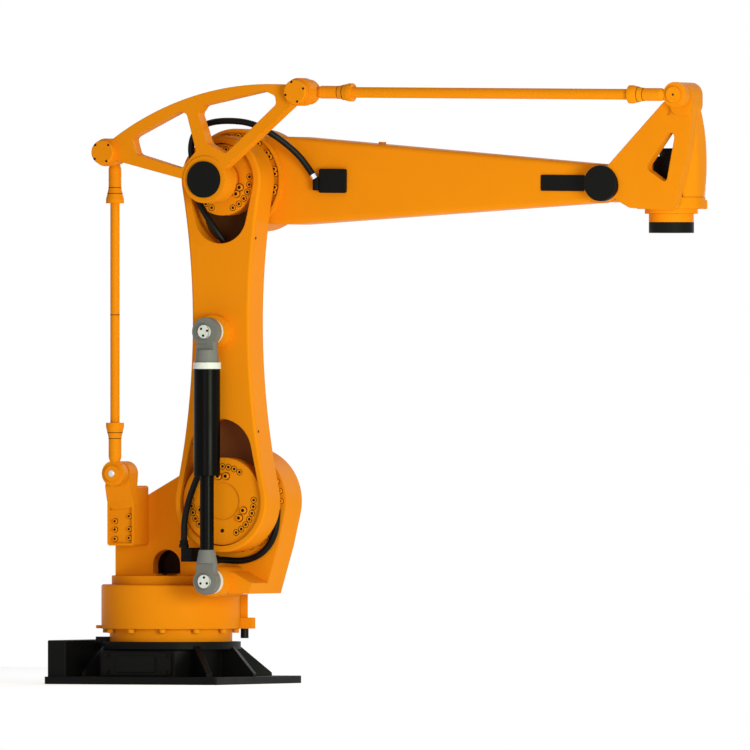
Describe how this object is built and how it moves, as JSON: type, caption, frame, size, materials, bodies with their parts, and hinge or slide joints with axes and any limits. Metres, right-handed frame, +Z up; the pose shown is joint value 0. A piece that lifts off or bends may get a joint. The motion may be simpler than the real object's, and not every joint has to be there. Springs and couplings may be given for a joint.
{
  "type": "four-axis palletising robot arm",
  "caption": "Floor-bolted palletising robot arm: slewing turret, lower arm with gas spring, tapered forearm and tie rods over a rocker that keep the tool flange level.",
  "frame": {"origin": "on the slewing axis at the underside of the base plate", "axes": "+X the way the arm reaches, +Y the motor side, +Z up along the slewing axis"},
  "size_m": [2.6399, 0.849, 2.2619],
  "materials": {
    "orange_paint": "semi-gloss",
    "base_paint": "satin",
    "motor_black": "satin",
    "black_trim": "matte",
    "flange_black": "satin",
    "spring_black": "gloss",
    "spring_grey": "cast, satin",
    "spring_white": "satin",
    "hose_rubber": "matte",
    "bare_steel": "machined"
  },
  "bodies": {
    "base": {"base_plate": "base_paint", "pedestal": "base_paint", "side_cover": "base_paint", "rear_cable_box": "base_paint", "base_ring": "orange_paint", "stop_block": "base_paint"},
    "turret": {"turret_drum": "orange_paint", "turret_casting": "orange_paint", "tie_rod_bracket": "orange_paint", "bracket_pin": "bare_steel", "shoulder_flange": "orange_paint", "shoulder_motor": "motor_black", "slew_motor": "motor_black", "spring_foot_pin": "spring_white", "stop_lug": "orange_paint", "stop_bumper": "hose_rubber", "cable_block": "black_trim", "shoulder_hose": "hose_rubber", "under_arm_hose": "hose_rubber"},
    "lower_arm": {"lower_arm_casting": "orange_paint", "shoulder_disc": "orange_paint", "elbow_disc": "orange_paint", "rocker_axle": "bare_steel", "spring_head_pin": "spring_white", "window_hose": "hose_rubber"},
    "spring_cylinder": {"spring_barrel": "spring_black", "spring_collar": "spring_white", "spring_head_eye": "spring_grey"},
    "spring_plunger": {"spring_rod": "spring_black", "spring_foot_eye": "spring_grey"},
    "rocker": {"rocker_frame": "orange_paint", "rocker_hub_cap": "black_trim", "rocker_pins": "orange_paint"},
    "rear_rod": {"rear_rod_ends": "orange_paint", "rear_rod_tube": "orange_paint"},
    "front_rod": {"front_rod_ends": "orange_paint", "front_rod_tube": "orange_paint"},
    "forearm": {"forearm_beam": "orange_paint", "elbow_ring": "orange_paint", "elbow_motor": "motor_black", "junction_cover": "black_trim", "blank_plate": "black_trim", "elbow_hose": "hose_rubber"},
    "wrist": {"wrist_housing": "orange_paint", "wrist_pivot_pin": "bare_steel", "wrist_caps": "black_trim", "wrist_rod_pin": "bare_steel", "wrist_motor": "motor_black"},
    "tool_head": {"flange_neck": "orange_paint", "tool_flange": "flange_black"}
  },
  "joints": [
    {"name": "slew", "type": "hinge", "parent": "base", "child": "turret", "pos_m": [0, 0, 0], "axis": [0, 0, 1], "range_deg": [-165, 165]},
    {"name": "shoulder", "type": "hinge", "parent": "turret", "child": "lower_arm", "pos_m": [0.335, 0, 0.685], "axis": [0, 1, 0], "range_deg": [-35, 70]},
    {"name": "rocker_pivot", "type": "hinge", "parent": "lower_arm", "child": "rocker", "pos_m": [0.335, 0, 1.885], "axis": [0, 1, 0], "range_deg": [-70, 35]},
    {"name": "elbow", "type": "hinge", "parent": "rocker", "child": "forearm", "pos_m": [0.335, 0, 1.885], "axis": [0, -1, 0], "range_deg": [-30, 20]},
    {"name": "wrist_pivot", "type": "hinge", "parent": "forearm", "child": "wrist", "pos_m": [1.8549, 0, 1.86776], "axis": [0, -1, 0], "range_deg": [-20, 30]},
    {"name": "tool_turn", "type": "hinge", "parent": "wrist", "child": "tool_head", "pos_m": [2.0749, 0, 0], "axis": [0, 0, 1], "range_deg": [-180, 180]},
    {"name": "front_rod_pivot", "type": "hinge", "parent": "rocker", "child": "front_rod", "pos_m": [0.723, 0, 2.21], "axis": [0, -1, 0], "range_deg": [-30, 20]},
    {"name": "rear_rod_pivot", "type": "hinge", "parent": "turret", "child": "rear_rod", "pos_m": [-0.078, 0, 0.788], "axis": [0, 1, 0], "range_deg": [-35, 70]},
    {"name": "spring_foot_pivot", "type": "hinge", "parent": "turret", "child": "spring_plunger", "pos_m": [0.322, 0, 0.386], "axis": [0, 1, 0], "range_deg": [-24.5, 49]},
    {"name": "spring_head_pivot", "type": "hinge", "parent": "lower_arm", "child": "spring_cylinder", "pos_m": [0.322, 0, 1.318], "axis": [0, 1, 0], "range_deg": [-21, 10.5]}
  ],
  "couplings": [
    {"joint": "rocker_pivot", "follows": "shoulder", "ratio": -1},
    {"joint": "rear_rod_pivot", "follows": "shoulder", "ratio": 1},
    {"joint": "spring_foot_pivot", "follows": "shoulder", "ratio": 0.7},
    {"joint": "spring_head_pivot", "follows": "shoulder", "ratio": -0.3},
    {"joint": "wrist_pivot", "follows": "elbow", "ratio": -1},
    {"joint": "front_rod_pivot", "follows": "elbow", "ratio": 1}
  ]
}
